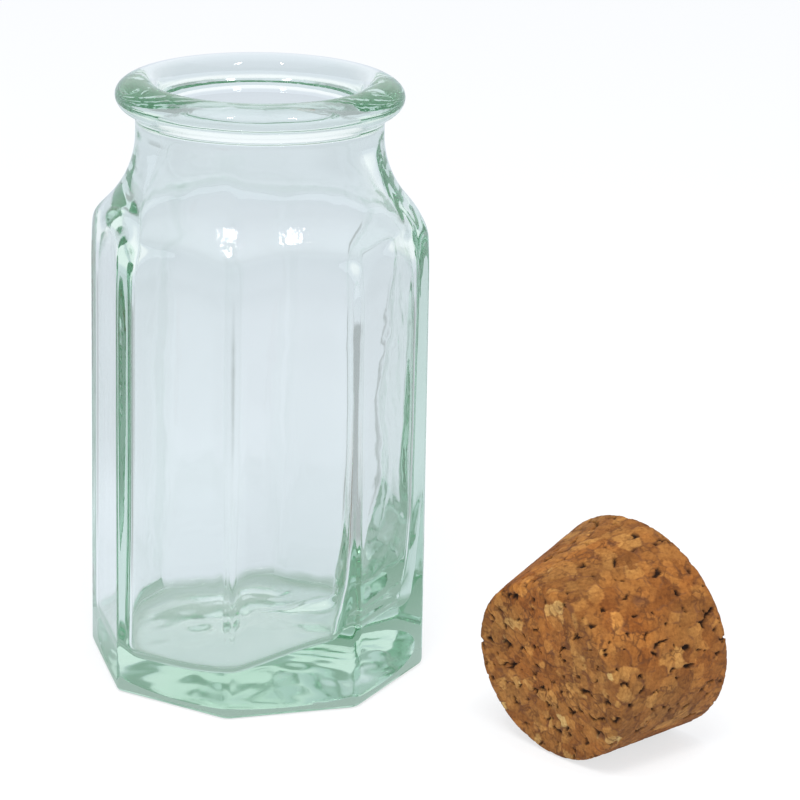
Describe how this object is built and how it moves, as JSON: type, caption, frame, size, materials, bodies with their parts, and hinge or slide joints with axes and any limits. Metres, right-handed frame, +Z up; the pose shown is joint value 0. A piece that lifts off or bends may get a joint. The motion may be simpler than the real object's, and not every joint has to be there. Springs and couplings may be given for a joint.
{
  "type": "glass jar with cork stopper",
  "caption": "Eight-sided moulded glass jar with a round shoulder, a rolled lip and a tapered cork stopper lying beside it.",
  "frame": {"origin": "centre of the underside of the jar, on the plane of its foot ring", "axes": "+Z up along the jar's axis, out of its mouth; +X and +Y square to two neighbouring side panels but one"},
  "size_m": [0.0889, 0.0903, 0.099],
  "materials": {
    "bottle_glass": "clear pressed soda-lime glass with a green tint that deepens where the glass is thick",
    "stopper_cork": "agglomerated cork, sanded, bare"
  },
  "bodies": {
    "root": {"glass_bottle": "bottle_glass", "cork_stopper": "stopper_cork"}
  },
  "joints": []
}
